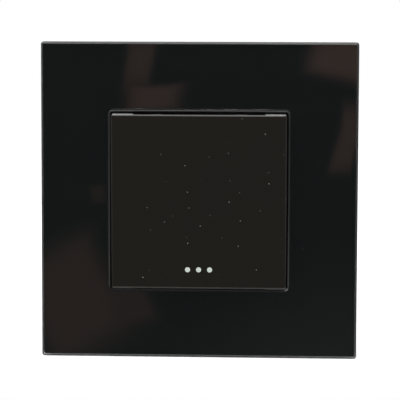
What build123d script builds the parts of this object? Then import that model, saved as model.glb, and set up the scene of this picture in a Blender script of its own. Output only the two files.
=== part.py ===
"""Two-way light switch with a square glass front, as an assembly of its real pieces.

Millimetres. +X is right and +Z is up as you face the switch, and the front looks along -Y.
The origin is the centre of the plate on the wall plane, so the mechanism reaches into the wall at +Y.
The rocker stands as photographed: top end out, bottom end pressed in.
"""

import os
from math import cos, radians, sin

from build123d import *

# Allowances: how far a cut runs past its surface, and how deep a boss is rooted in its wall
CUT = 1.0
JOIN = 0.1

# Front plate: glass, its tape and the moulded frame behind it
PLATE = 86.0
PLATE_CORNER = 0.8
GLASS_T = 4.0
ARRIS = 0.6
BACK_ARRIS = 0.2
APERTURE_ARRIS = 0.1
TAPE_T = 0.4
TAPE_TO_APERTURE = 3.7
FRAME_DEPTH = 6.0
FRAME_INSET = 0.7
FRAME_WALL = 1.6
FRAME_WEB = 1.6
FRAME_CORNER = 1.5
GUSSET_T = 1.2
GUSSET_COUNT = 5
GUSSET_TO_YOKE = 1.0
GUSSET_TO_WALL = 0.8
PRY_NOTCH_W = 7.0
PRY_NOTCH_DEPTH = 1.4

# Bezel ring that lines the glass aperture
RING_OUTER = 49.15
RING_WALL = 0.45
RING_CORNER = 1.2
RING_PROUD = 0.5
RING_EDGE = 0.2
RING_TO_GLASS = 0.15
RING_TO_FRAME = 0.1
FLANGE_W = 1.6
FLANGE_T = 1.0
EAR_W = 8.0
EAR_REACH = 3.0
EAR_X = 8.0
STAKE_R = 1.0
STAKE_HEAD_R = 1.7
STAKE_HEAD_T = 0.6
STAKE_ROUND = 0.4
STAKE_EDGE = 0.2
STAKE_CLEAR = 0.05

# Rocker cap and the see-saw it clips to
ROCKER_SIDE_GAP = 0.38
ROCKER_END_GAP = 0.15
ROCKER_T = 1.8
ROCKER_CORNER = 0.5
ROCKER_BEVEL = 0.32
FACE_PROUD = 1.85
PIVOT_DEPTH = 5.5
TILT = 2.8
SKIRT_DEPTH = 5.0
SKIRT_WALL = 1.2
SKIRT_CORNER = 0.3
SKIRT_CUT = 36.0
TAB_W = 2.7
TAB_X = 11.5
TAB_SET_BACK = 0.3
CAP_RIB_T = 1.0
CAP_RIB_H = 1.0
CAP_RIB_FROM_SIDE = 8.65
CAP_RIB_FROM_END = 7.5
DOT_R = 0.7
DOT_PITCH = 3.0
DOT_COUNT = 3
DOT_FROM_EDGE = 5.25
DOT_CLEAR = 0.03
DOT_BAR_T = 0.8
DOT_BAR_MARGIN = 0.8
SEESAW_W = 16.0
SEESAW_TO_SCREW = 0.6
SEESAW_BACK = 2.2
SEESAW_WALL = 1.5
TRUNNION_R = 1.75
TRUNNION_L = 3.0
HOOK_W = 5.0
HOOK_T = 1.2
HOOK_REACH = 2.5
HOOK_BARB = 0.7
HOOK_BARB_T = 1.0
HOOK_CLEAR = 0.2

# Spring plunger inside the see-saw's tube
TUBE_WALL = 1.5
TUBE_L = 9.2
PLUNGER_WALL = 0.6
PLUNGER_L = 6.8
PLUNGER_NOSE = 1.5
PLUNGER_BORE_DEPTH = 3.4
PLUNGER_ROOM = 3.0
SLIDE_CLEAR = 0.05
TIP_CLEAR = 0.2
SPRING_R = 1.45
SPRING_WIRE = 0.4
SPRING_TURNS = 6
SPRING_END_CLEAR = 0.05
SPRING_CLEAR = 0.2

# Two-way contact set
LEVER_BACK = 6.0
LEVER_T = 1.0
LEVER_W = 7.0
HORN_CLEAR = 0.2
LEVER_NOTCH = 3.0
LEVER_CORNER = 1.2
FLIP = 10.8
TIP_Z = 8.0
TIP_R = 1.8
TIP_T = 0.8
RIVET_R = 1.0
RIVET_CLEAR = 0.02
DOME_H = 0.3
DOME_SEAT_T = 0.3
CONTACT_GAP = 0.1
FULCRUM_GAP = 0.05
FULCRUM_T = 1.0
FULCRUM_W = 8.0
HORN_W = 1.0
HORN_REACH = 1.6
STRAP_T = 1.0
STRAP_W = 3.8
TONGUE_CLEAR = 0.3
PAD_MARGIN = 0.8

# Rising-cage terminals
TERM_X = 12.0
CAGE_TO_BRIDGE = 0.35
CAGE_W = 8.0
CAGE_L = 6.5
CAGE_SIDE = 1.1
CAGE_NUT = 1.8
CAGE_CORNER = 0.6
CAGE_FLOOR = 1.1
CAGE_TO_STRAP = 0.2
WIRE_GAP = 4.6
WIRE_ENTRY_R = 3.05
CAGE_REST = 0.1
HEAD_TO_CAGE = 0.5
TERM_SCREW_R = 1.75
TERM_HEAD_R = 3.0
TERM_HEAD_H = 1.8
THREAD_CLEAR = 0.05
SCREW_SEAT = 0.1
SLOT_W = 1.0
SLOT_DEPTH = 0.9
HEAD_ROUND = 0.6
SCREW_POINT = 0.3

# Module housing and its front cover
POCKET_CLEAR = 0.25
POCKET_WALL = 1.0
SIDE_WALL = 1.8
END_WALL = 1.8
BACK_WALL = 1.5
TONGUE_OVERRUN = 0.9
TONGUE_END_GAP = 0.6
HEAD_TO_BACK = 0.2
DRIVER_HOLE_R = 2.5
HOUSING_CORNER = 1.5
HOUSING_EDGE = 0.5
COVER_T = 1.8
MASK_T = 0.8
MASK_OVERLAP = 0.1
WINDOW_CLEAR = 1.0
BOSS_R = 2.6
CHEEK_T = 3.0
CHEEK_WALL = 1.2
CHEEK_GAP = 0.4
PIVOT_CLEAR = 0.05
STOP_W = 3.0
STOP_X = 5.5
STOP_L = 1.3
STOP_GAP = 0.1
STOP_INSET = 0.1
COVER_SCREW_R = 1.25
COVER_SCREW_L = 9.0
COVER_HEAD_R = 2.3
COVER_HEAD_H = 1.4
COVER_SCREW_CLEAR = 0.15
COVER_SCREW_SHORT = 0.5

# Steel yoke, wall screws, earth screw and frame clips
YOKE_EDGE = 1.35
YOKE_T = 1.2
YOKE_CORNER = 3.0
YOKE_LIP = 6.0
YOKE_OPENING_CORNER = 1.0
FIXING_PITCH = 60.3
FIXING_SLOT_L = 9.0
FIXING_SLOT_W = 4.2
FIXING_R = 1.75
FIXING_L = 25.0
FIXING_NECK_R = 1.5
FIXING_NECK_SHORT = 0.05
FIXING_HEAD_R = 3.4
FIXING_HEAD_H = 2.0
FIXING_POINT = 0.8
ARM_X = 20.0
ARM_TO_FLANGE = 2.825
ARM_W = 7.0
ARM_T = 1.4
ARM_REACH = 3.0
ARM_TIP_T = 0.6
ARM_TIP_TAPER = 1.0
ARM_SLOT_CLEAR = 0.3
TOOTH = 0.2
TOOTH_PITCH = 1.2
TOOTH_COUNT = 3
TOOTH_RAMP = 0.9
TOOTH_FLANK = 0.06
CLIP_W = 6.0
CLIP_T = 0.4
CLIP_GAP = 0.1
CLIP_FOOT = 3.6
CLIP_TONGUE = 2.4
EARTH_X = -10.0
EARTH_TO_FLANGE = 5.625
EARTH_BURR_R = 2.9
EARTH_BURR_H = 1.0
EARTH_BURR_ROUND = 0.3
SADDLE_W = 9.0
SADDLE_L = 7.6
SADDLE_T = 0.8
SADDLE_LIP = 0.9
SADDLE_GAP = 3.8
EARTH_HEAD_R = 3.2
EARTH_HEAD_H = 2.0

# Planes along Y, from the wall forward to the rocker's face
glass_back = -FRAME_DEPTH - TAPE_T
glass_front = glass_back - GLASS_T
web_back = -FRAME_DEPTH + FRAME_WEB
ring_front = glass_front - RING_PROUD
face = glass_front - FACE_PROUD
pivot_y = face + PIVOT_DEPTH
cap_inside = face + ROCKER_T
seesaw_back = pivot_y + SEESAW_BACK
cover_front = -YOKE_T - COVER_T
aperture = RING_OUTER + 2 * RING_TO_GLASS
flange_edge = RING_OUTER / 2 + FLANGE_W
arm_z = flange_edge + ARM_TO_FLANGE
earth_z = -flange_edge - EARTH_TO_FLANGE
yoke = FIXING_PITCH + FIXING_SLOT_L + 2 * YOKE_EDGE

# The rocker fills the ring apart from its gaps, and its edges swing a little as it tilts
tilt = radians(TILT)
ring_inner = RING_OUTER - 2 * RING_WALL
rocker_w = ring_inner - 2 * ROCKER_SIDE_GAP
rocker_h = 2 * (ring_inner / 2 - ROCKER_END_GAP - PIVOT_DEPTH * sin(tilt)) / cos(tilt)

# Round pieces from the spring outward: plunger, its tube and the windows round the tube
plunger_bore_r = SPRING_R + SPRING_WIRE / 2 + SPRING_CLEAR
plunger_r = plunger_bore_r + PLUNGER_WALL
tube_r = plunger_r + SLIDE_CLEAR + TUBE_WALL
cover_window = 2 * (tube_r + WINDOW_CLEAR)
yoke_opening = cover_window + 2 * YOKE_LIP

# The moving tip's face, with the lever tipped against the upper contact
flip = radians(FLIP)
touch_y = LEVER_BACK + TIP_T * cos(flip) + TIP_Z * sin(flip)
touch_z = TIP_Z * cos(flip) - TIP_T * sin(flip)
dome_r = (TIP_R**2 + DOME_H**2) / (2 * DOME_H)
dome_y = touch_y + (dome_r + CONTACT_GAP) * cos(flip)
dome_z = touch_z - (dome_r + CONTACT_GAP) * sin(flip)
strap_front = dome_y - dome_r + DOME_H + DOME_SEAT_T
strap_back = strap_front + STRAP_T
contact_end = dome_z - TIP_R + STRAP_W
term_z = contact_end + CAGE_TO_BRIDGE + CAGE_L / 2
tongue_w = CAGE_W - 2 * CAGE_SIDE - 2 * TONGUE_CLEAR
lever_l = 2 * (TIP_Z + TIP_R)
lever_waist = FULCRUM_W - 2 * HORN_W - 2 * HORN_CLEAR
cage_travel = WIRE_GAP - CAGE_REST

# Stack behind the strap: cage wall, its travel, the screw's head and the back of the housing
cage_front = strap_front - WIRE_GAP - CAGE_FLOOR
cage_back = strap_back + CAGE_TO_STRAP + CAGE_NUT
head_seat = cage_back + cage_travel + HEAD_TO_CAGE
back_inside = head_seat + TERM_HEAD_H + HEAD_TO_BACK
housing_depth = back_inside + BACK_WALL
wire_y = strap_front - WIRE_GAP / 2

# Housing outline, from the terminals outward
tongue_end = term_z + CAGE_L / 2 + TONGUE_OVERRUN
inner_x = TERM_X + CAGE_W / 2 + POCKET_CLEAR
inner_z = tongue_end + TONGUE_END_GAP
housing_w = 2 * (inner_x + SIDE_WALL)
housing_h = 2 * (inner_z + END_WALL)
boss_z = inner_z - BOSS_R
seesaw_l = 2 * (boss_z - COVER_HEAD_R - SEESAW_TO_SCREW)

# Terminals: name, x and z of the screw
terminals = {
    "com": (-TERM_X, term_z),
    "l1": (TERM_X, term_z),
    "l2": (TERM_X, -term_z),
}


def block(x, y, z):
    """A box from its low and high limits along each axis."""
    spans = (x, y, z)
    middle = [(min(s) + max(s)) / 2 for s in spans]
    return Pos(*middle) * Box(*[abs(s[1] - s[0]) for s in spans])


def slab(outline, front, back):
    """A flat outline, drawn in X and Z, as thick as the space between two planes."""
    return extrude(Plane.XZ.offset(-back) * outline, back - front)


def rod(radius, front, back, x=0.0, z=0.0):
    """A round bar along Y."""
    return slab(Pos(x, z) * Circle(radius), front, back)


def rounded(width, height, corner):
    """A rectangle with rounded corners."""
    return RectangleRounded(width, height, corner)


def rocked(shape):
    """The shape turned about the rocker's pivot, from level to the photographed pose."""
    return shape.rotate(Axis((0, pivot_y, 0), (1, 0, 0)), TILT)


def tipped(shape):
    """The shape turned about the lever's fulcrum, from level to the closed upper contact."""
    return shape.rotate(Axis((0, LEVER_BACK, 0), (1, 0, 0)), -FLIP)


def pan_screw(radius, length, head_r, head_h, point=SCREW_POINT):
    """A slotted pan-head screw along Y: head behind the plane y=0, shank in front of it."""
    head = rod(head_r, 0, head_h)
    head = fillet(head.edges().group_by(Axis.Y)[-1], HEAD_ROUND)
    shank = rod(radius, -length, 0)
    shank = chamfer(shank.edges().group_by(Axis.Y)[0], point)
    slot = block((-head_r, head_r), (head_h - SLOT_DEPTH, head_h + CUT), (-SLOT_W / 2, SLOT_W / 2))
    return head + shank - slot


def glass_panel():
    """Clear plate with a polished arris all round and a square aperture."""
    plate = slab(rounded(PLATE, PLATE, PLATE_CORNER), glass_front, glass_back)
    plate = chamfer(plate.edges().group_by(Axis.Y)[0], ARRIS)
    plate = chamfer(plate.edges().group_by(Axis.Y)[-1], BACK_ARRIS)
    outline = rounded(aperture, aperture, RING_CORNER + RING_TO_GLASS)
    plate -= slab(outline, glass_front - CUT, glass_back + CUT)
    inside = aperture / 2 + ARRIS
    rim = plate.edges().filter_by(Plane.XZ)
    rim = [e for e in rim if abs(e.center().X) < inside and abs(e.center().Z) < inside]
    return chamfer(rim, APERTURE_ARRIS)


def panel_tape():
    """Double-sided foam tape between the glass and the frame."""
    outer = PLATE - 2 * FRAME_INSET - 2 * FRAME_WALL
    inner = aperture + 2 * TAPE_TO_APERTURE
    outline = rounded(outer, outer, FRAME_CORNER) - rounded(inner, inner, FRAME_CORNER)
    return slab(outline, glass_back, -FRAME_DEPTH)


def arm_outline():
    """Side view of one snap arm in Y and Z: a flat strip with ratchet teeth on its inner face."""
    inner = arm_z - ARM_T / 2
    points = [(web_back, arm_z + ARM_T / 2), (web_back, inner)]
    for n in range(TOOTH_COUNT):
        start = -YOKE_T - CLIP_TONGUE + n * TOOTH_PITCH
        points += [(start, inner), (start + TOOTH_RAMP, inner - TOOTH)]
        points += [(start + TOOTH_RAMP + TOOTH_FLANK, inner)]
    points += [(ARM_REACH, inner), (ARM_REACH, inner + ARM_TIP_T)]
    points += [(ARM_REACH - ARM_TIP_TAPER, arm_z + ARM_T / 2)]
    return make_face(Polyline(*[(0, y, z) for y, z in points], close=True))


def carrier_frame():
    """Moulded frame: rim to the wall, web behind the glass, gussets, snap arms and staking posts."""
    outer = PLATE - 2 * FRAME_INSET
    inner = outer - 2 * FRAME_WALL
    opening = RING_OUTER + 2 * RING_TO_FRAME
    shell = slab(rounded(outer, outer, FRAME_CORNER), -FRAME_DEPTH, 0)
    shell -= slab(rounded(inner, inner, FRAME_CORNER), web_back, CUT)
    shell -= slab(rounded(opening, opening, RING_CORNER), -FRAME_DEPTH - CUT, CUT)
    yoke_edge = yoke / 2 + GUSSET_TO_YOKE
    gusset_back = -GUSSET_TO_WALL
    for n in range(GUSSET_COUNT):
        along = (n - (GUSSET_COUNT - 1) / 2) * inner / (GUSSET_COUNT + 1)
        across = (along - GUSSET_T / 2, along + GUSSET_T / 2)
        for side in (-1, 1):
            reach = (side * yoke_edge, side * (inner / 2 + JOIN))
            shell += block(across, (web_back - JOIN, gusset_back), reach)
            shell += block(reach, (web_back - JOIN, gusset_back), across)
    arm = extrude(arm_outline(), ARM_W / 2, both=True)
    upper_arms = Pos(ARM_X, 0, 0) * arm + Pos(-ARM_X, 0, 0) * arm
    shell += upper_arms
    shell += mirror(upper_arms, Plane.XY)
    for x, z in ear_places():
        shell += rod(STAKE_R, web_back - JOIN, web_back + FLANGE_T, x, z)
        head = rod(STAKE_HEAD_R, web_back + FLANGE_T, web_back + FLANGE_T + STAKE_HEAD_T, x, z)
        shell += fillet(head.edges().group_by(Axis.Y)[-1], STAKE_ROUND)
    notch = (-PRY_NOTCH_W / 2, PRY_NOTCH_W / 2)
    shell -= block(notch, (-PRY_NOTCH_DEPTH, CUT), (-outer / 2 - CUT, -inner / 2 + CUT))
    return shell


def ear_places():
    """X and Z of the staking holes in the bezel ring's four ears."""
    z = RING_OUTER / 2 + FLANGE_W + EAR_REACH / 2 - STAKE_R / 2
    return [(sx * EAR_X, sz * z) for sx in (-1, 1) for sz in (-1, 1)]


def bezel_ring():
    """Thin sleeve through the glass with a flange and four staked ears behind the frame's web."""
    flange = RING_OUTER + 2 * FLANGE_W
    ring = slab(rounded(RING_OUTER, RING_OUTER, RING_CORNER), ring_front, web_back)
    ring = fillet(ring.edges().group_by(Axis.Y)[0], RING_EDGE)
    ring += slab(rounded(flange, flange, RING_CORNER + FLANGE_W), web_back, web_back + FLANGE_T)
    for x, z in ear_places():
        near = RING_OUTER / 2
        far = near + FLANGE_W + EAR_REACH
        side = 1 if z > 0 else -1
        ear_x = (x - EAR_W / 2, x + EAR_W / 2)
        ring += block(ear_x, (web_back, web_back + FLANGE_T), (side * near, side * far))
    ring -= slab(rounded(ring_inner, ring_inner, RING_CORNER - RING_WALL), ring_front - CUT, CUT)
    front_edges = ring.edges().group_by(Axis.Y)[0]
    ring = fillet(front_edges, RING_EDGE)
    for x, z in ear_places():
        ring -= rod(STAKE_R + STAKE_CLEAR, web_back - CUT, web_back + FLANGE_T + CUT, x, z)
    return ring


def dot_places():
    """X of each dot, and their common height on the level rocker."""
    z = -rocker_h / 2 + DOT_FROM_EDGE
    return [((n - (DOT_COUNT - 1) / 2) * DOT_PITCH, z) for n in range(DOT_COUNT)]


def hook_ledge():
    """Y of the see-saw's ledge that the cap's hooks catch."""
    return cap_inside + HOOK_REACH


def rocker_cap():
    """Flat face with bevelled edges, a cut-away skirt, ribs, two hooks and three dot holes."""
    cap = slab(rounded(rocker_w, rocker_h, ROCKER_CORNER), face, face + SKIRT_DEPTH)
    cap = chamfer(cap.edges().group_by(Axis.Y)[0], ROCKER_BEVEL)
    hollow_w = rocker_w - 2 * SKIRT_WALL
    hollow_h = rocker_h - 2 * SKIRT_WALL
    cap -= slab(rounded(hollow_w, hollow_h, SKIRT_CORNER), cap_inside, face + SKIRT_DEPTH + CUT)
    cut = (-SKIRT_CUT / 2, SKIRT_CUT / 2)
    cap -= block(cut, (cap_inside, face + SKIRT_DEPTH + CUT), (-rocker_h, rocker_h))
    tab_z = rocker_h / 2 - TAB_SET_BACK
    side_rib = rocker_w / 2 - CAP_RIB_FROM_SIDE
    end_rib = rocker_h / 2 - CAP_RIB_FROM_END
    for sx in (-1, 1):
        tab_x = (sx * TAB_X - TAB_W / 2, sx * TAB_X + TAB_W / 2)
        rib_x = (sx * side_rib - CAP_RIB_T / 2, sx * side_rib + CAP_RIB_T / 2)
        cap += block(rib_x, (cap_inside - JOIN, cap_inside + CAP_RIB_H), (-hollow_h / 2, hollow_h / 2))
        for sz in (-1, 1):
            tab_span = (sz * (tab_z - SKIRT_WALL), sz * tab_z)
            cap += block(tab_x, (cap_inside - JOIN, face + SKIRT_DEPTH), tab_span)
    for sz in (-1, 1):
        rib_z = (sz * end_rib - CAP_RIB_T / 2, sz * end_rib + CAP_RIB_T / 2)
        cap += block((-hollow_w / 2, hollow_w / 2), (cap_inside - JOIN, cap_inside + CAP_RIB_H), rib_z)
        end = seesaw_l / 2
        hook_z = (sz * end, sz * (end + HOOK_T))
        barb_z = (sz * (end - HOOK_BARB), sz * (end + HOOK_T))
        hook_x = (-HOOK_W / 2, HOOK_W / 2)
        ledge = hook_ledge()
        cap += block(hook_x, (cap_inside - JOIN, ledge + HOOK_BARB_T), hook_z)
        cap += block(hook_x, (ledge, ledge + HOOK_BARB_T), barb_z)
    for x, z in dot_places():
        cap -= rod(DOT_R + DOT_CLEAR, face - CUT, cap_inside + CAP_RIB_H, x, z)
    return rocked(cap)


def dot_insert():
    """Pale luminous bar behind the cap with three pips flush in the face."""
    bar_w = (DOT_COUNT - 1) * DOT_PITCH + 2 * (DOT_R + DOT_BAR_MARGIN)
    bar_h = 2 * (DOT_R + DOT_BAR_MARGIN)
    z = dot_places()[0][1]
    insert = slab(Pos(0, z) * rounded(bar_w, bar_h, DOT_R), cap_inside, cap_inside + DOT_BAR_T)
    for x, z in dot_places():
        insert += rod(DOT_R, face, cap_inside + DOT_BAR_T / 2, x, z)
    return rocked(insert)


def seesaw():
    """Moulded see-saw: cored block on two trunnions with a tube for the plunger behind it."""
    half_w = SEESAW_W / 2
    half_l = seesaw_l / 2
    beam = block((-half_w, half_w), (cap_inside, seesaw_back), (-half_l, half_l))
    pocket_x = (-half_w + SEESAW_WALL, half_w - SEESAW_WALL)
    for sz in (-1, 1):
        pocket_z = (sz * (tube_r + SEESAW_WALL), sz * (half_l - SEESAW_WALL))
        beam -= block(pocket_x, (cap_inside + SEESAW_WALL, seesaw_back + CUT), pocket_z)
        recess_x = (-HOOK_W / 2 - HOOK_CLEAR, HOOK_W / 2 + HOOK_CLEAR)
        recess_z = (sz * (half_l - HOOK_BARB - HOOK_CLEAR), sz * (half_l + CUT))
        beam -= block(recess_x, (hook_ledge(), seesaw_back + CUT), recess_z)
    trunnions = rod(TRUNNION_R, -half_w - CHEEK_GAP - TRUNNION_L, half_w + CHEEK_GAP + TRUNNION_L)
    beam += Pos(0, pivot_y, 0) * Rot(0, 0, 90) * trunnions
    beam += rod(tube_r, pivot_y, pivot_y + TUBE_L)
    beam -= rod(plunger_r + SLIDE_CLEAR, bore_floor(), pivot_y + TUBE_L + CUT)
    return rocked(beam)


def plunger_tip():
    """Y of the plunger's tip on the level see-saw, so that it just clears the tipped lever."""
    centre = (LEVER_T + PLUNGER_NOSE + TIP_CLEAR - LEVER_BACK * cos(flip) + pivot_y * cos(flip)) / (
        sin(flip) * sin(tilt) - cos(flip) * cos(tilt)
    )
    return pivot_y + centre + PLUNGER_NOSE


def bore_floor():
    """Y of the floor of the see-saw's bore, one spring length in front of the plunger's seat."""
    return plunger_tip() - PLUNGER_L + PLUNGER_BORE_DEPTH - spring_length()


def spring_length():
    """Fitted length of the plunger spring."""
    return PLUNGER_BORE_DEPTH + PLUNGER_ROOM


def plunger():
    """Hollow plunger with a rounded nose that drives the contact lever."""
    tip = plunger_tip()
    start = tip - PLUNGER_L
    body = rod(plunger_r, start, tip - 2 * PLUNGER_NOSE)
    taper = Plane.XZ.offset(-(tip - 2 * PLUNGER_NOSE))
    nose_face = Plane.XZ.offset(-(tip - PLUNGER_NOSE))
    body += loft([taper * Circle(plunger_r), nose_face * Circle(PLUNGER_NOSE)])
    body += Pos(0, tip - PLUNGER_NOSE, 0) * Sphere(PLUNGER_NOSE)
    body -= rod(plunger_bore_r, start - CUT, start + PLUNGER_BORE_DEPTH)
    return rocked(body)


def plunger_spring():
    """Coil spring between the bore's floor and the plunger."""
    start = bore_floor() + SPRING_WIRE / 2 + SPRING_END_CLEAR
    height = spring_length() - SPRING_WIRE - 2 * SPRING_END_CLEAR
    path = Helix(height / SPRING_TURNS, height, SPRING_R)
    section = Plane(origin=path @ 0, z_dir=path % 0) * Circle(SPRING_WIRE / 2)
    coil = sweep(section, path=path, is_frenet=True)
    return rocked(Pos(0, start, 0) * Rot(-90, 0, 0) * coil)


def contact_lever():
    """Flat copper lever, waisted at its fulcrum, with a hole for a rivet at each end."""
    half = lever_l / 2
    lever = block((-LEVER_W / 2, LEVER_W / 2), (LEVER_BACK - LEVER_T, LEVER_BACK), (-half, half))
    lever = fillet(lever.edges().filter_by(Axis.Y), LEVER_CORNER)
    for sx in (-1, 1):
        notch_x = (sx * lever_waist / 2, sx * LEVER_W)
        lever -= block(notch_x, (0, 2 * LEVER_BACK), (-LEVER_NOTCH / 2, LEVER_NOTCH / 2))
    for sz in (-1, 1):
        lever -= rod(RIVET_R + RIVET_CLEAR, 0, 2 * LEVER_BACK, 0, sz * TIP_Z)
    return tipped(lever)


def lever_tips():
    """Silver rivets at both ends of the lever, flat-faced towards the fixed contacts."""
    tips = []
    for sz in (-1, 1):
        tip = rod(TIP_R, LEVER_BACK, LEVER_BACK + TIP_T, 0, sz * TIP_Z)
        tip += rod(RIVET_R, LEVER_BACK - LEVER_T, LEVER_BACK + TIP_T / 2, 0, sz * TIP_Z)
        tips.append(tipped(tip))
    return Compound(children=tips)


def fixed_contact(sz):
    """Domed silver rivet on the fixed strap, square to the moving tip where they meet."""
    centre = Pos(0, dome_y, sz * dome_z) * Sphere(dome_r)
    stem = rod(TIP_R, dome_y - dome_r - CUT, strap_front, 0, sz * dome_z)
    head = stem & (centre + rod(TIP_R, dome_y - dome_r + DOME_H, strap_front, 0, sz * dome_z))
    return head + rod(RIVET_R, strap_front - DOME_SEAT_T / 2, strap_back, 0, sz * dome_z)


def tongue(x, near, far):
    """The end of a strap that passes through a terminal cage."""
    return block((x - tongue_w / 2, x + tongue_w / 2), (strap_front, strap_back), (near, far))


def com_strap():
    """Common strap: tongue, bridge to the middle and a knife edge with two horns for the lever."""
    x, z = terminals["com"]
    edge = LEVER_BACK + FULCRUM_GAP
    half_t = FULCRUM_T / 2
    strap = tongue(x, -STRAP_W / 2, tongue_end)
    bridge_x = (x - tongue_w / 2, FULCRUM_W / 2)
    strap += block(bridge_x, (strap_front, strap_back), (-STRAP_W / 2, STRAP_W / 2))
    wedge = [(0, edge, 0), (0, edge + half_t, half_t), (0, strap_front + JOIN, half_t)]
    wedge += [(0, strap_front + JOIN, -half_t), (0, edge + half_t, -half_t)]
    strap += extrude(make_face(Polyline(*wedge, close=True)), FULCRUM_W / 2, both=True)
    for sx in (-1, 1):
        horn_x = (sx * (FULCRUM_W / 2 - HORN_W), sx * FULCRUM_W / 2)
        strap += block(horn_x, (edge - HORN_REACH, strap_front), (-half_t, half_t))
    return strap


def switched_strap(sz):
    """Fixed strap of one switched terminal: contact pad, bridge and tongue."""
    near = dome_z - TIP_R
    far = near + STRAP_W
    strap = tongue(TERM_X, near, tongue_end)
    strap += block((-TIP_R - PAD_MARGIN, TERM_X + tongue_w / 2), (strap_front, strap_back), (near, far))
    strap -= rod(RIVET_R + RIVET_CLEAR, strap_front - CUT, strap_back + CUT, 0, dome_z)
    return strap if sz > 0 else mirror(strap, Plane.XY)


def terminal_cage(x, z):
    """Rectangular clamp that rises along the screw and grips the wire against the strap."""
    half_w = CAGE_W / 2
    half_l = CAGE_L / 2
    cage = block((x - half_w, x + half_w), (cage_front, cage_back), (z - half_l, z + half_l))
    cage = fillet(cage.edges().filter_by(Axis.Z), CAGE_CORNER)
    inside = half_w - CAGE_SIDE
    hollow_y = (cage_front + CAGE_FLOOR, cage_back - CAGE_NUT)
    cage -= block((x - inside, x + inside), hollow_y, (z - CAGE_L, z + CAGE_L))
    return cage - rod(TERM_SCREW_R + THREAD_CLEAR, strap_back, cage_back + CUT, x, z)


def terminal_screw(x, z):
    """Captive terminal screw, head towards the back of the housing."""
    length = head_seat - strap_back - SCREW_SEAT
    screw = pan_screw(TERM_SCREW_R, length, TERM_HEAD_R, TERM_HEAD_H)
    return Pos(x, head_seat, z) * screw


def module_housing():
    """Deep moulded tub with pockets for the cages, posts behind the straps and driver holes."""
    outline = rounded(housing_w, housing_h, HOUSING_CORNER)
    tub = slab(outline, 0, housing_depth)
    tub = chamfer(tub.faces().sort_by(Axis.Y)[-1].edges(), HOUSING_EDGE)
    tub -= block((-inner_x, inner_x), (-CUT, back_inside), (-inner_z, inner_z))
    half_post = STRAP_W / 2
    tub += block((-half_post, half_post), (strap_back, back_inside + JOIN), (-contact_end, contact_end))
    com_x = (-TERM_X - half_post, -TERM_X + half_post)
    tub += block(com_x, (strap_back, back_inside + JOIN), (-half_post, half_post))
    pocket = CAGE_W / 2 + POCKET_CLEAR
    ledge = CAGE_L / 2 + POCKET_CLEAR
    for x, z in terminals.values():
        side = 1 if x > 0 else -1
        up = 1 if z > 0 else -1
        wall_x = (x - side * pocket, x - side * (pocket + POCKET_WALL))
        wall_z = (z - up * CAGE_L / 2, up * (inner_z + JOIN))
        tub += block(wall_x, (cage_front - POCKET_WALL, back_inside + JOIN), wall_z)
        ledge_x = (x - tongue_w / 2, x + tongue_w / 2)
        tub += block(ledge_x, (strap_back, back_inside + JOIN), (z + up * ledge, up * (inner_z + JOIN)))
        tub -= rod(DRIVER_HOLE_R, back_inside - CUT, housing_depth + CUT, x, z)
        entry = Cylinder(WIRE_ENTRY_R, 3 * END_WALL)
        tub -= Pos(x, wire_y, up * (inner_z + END_WALL / 2)) * entry
    for sz in (-1, 1):
        boss = rod(BOSS_R, 0, back_inside + JOIN, 0, sz * boss_z)
        web_z = (sz * boss_z, sz * (inner_z + JOIN))
        tub += boss + block((-BOSS_R, BOSS_R), (0, back_inside + JOIN), web_z)
        tub -= rod(COVER_SCREW_R, -CUT, COVER_SCREW_L, 0, sz * boss_z)
    return tub


def module_cover():
    """Front cover that clamps the yoke, masks it behind the rocker and carries the see-saw."""
    cover = slab(rounded(housing_w, housing_h, HOUSING_CORNER), cover_front, -YOKE_T)
    mask = ring_inner + 2 * MASK_OVERLAP
    cover += slab(rounded(mask, mask, HOUSING_CORNER), -YOKE_T - MASK_T, -YOKE_T)
    window = cover_window / 2
    cover -= block((-window, window), (cover_front - CUT, 0), (-window, window))
    cheek_r = TRUNNION_R + PIVOT_CLEAR + CHEEK_WALL
    inner = SEESAW_W / 2 + CHEEK_GAP
    for sx in (-1, 1):
        cheek = block((0, CHEEK_T), (pivot_y, cover_front + JOIN), (-cheek_r, cheek_r))
        cheek += Pos(CHEEK_T / 2, pivot_y, 0) * Rot(0, 90, 0) * Cylinder(cheek_r, CHEEK_T)
        cheek = Pos(inner, 0, 0) * cheek
        cover += cheek if sx > 0 else mirror(cheek, Plane.YZ)
    bearing = Cylinder(TRUNNION_R + PIVOT_CLEAR, housing_w)
    cover -= Pos(0, pivot_y, 0) * Rot(0, 90, 0) * bearing
    stop_far = seesaw_l / 2 - STOP_INSET
    stop_front = pivot_y + SEESAW_BACK * cos(tilt) + stop_far * sin(tilt) + STOP_GAP
    for sx in (-1, 1):
        for sz in (-1, 1):
            stop_x = (sx * STOP_X - STOP_W / 2, sx * STOP_X + STOP_W / 2)
            stop_z = (sz * (stop_far - STOP_L), sz * stop_far)
            cover += block(stop_x, (stop_front, cover_front + JOIN), stop_z)
    for sz in (-1, 1):
        cover -= rod(COVER_SCREW_R + COVER_SCREW_CLEAR, cover_front - CUT, 0, 0, sz * boss_z)
    return cover


def cover_screws():
    """Two small screws that hold cover, yoke and housing together."""
    length = COVER_SCREW_L + YOKE_T + COVER_T - COVER_SCREW_SHORT
    screw = pan_screw(COVER_SCREW_R, length, COVER_HEAD_R, COVER_HEAD_H)
    screw = screw.rotate(Axis.Z, 180)
    return Compound(children=[Pos(0, cover_front, sz * boss_z) * screw for sz in (-1, 1)])


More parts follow.
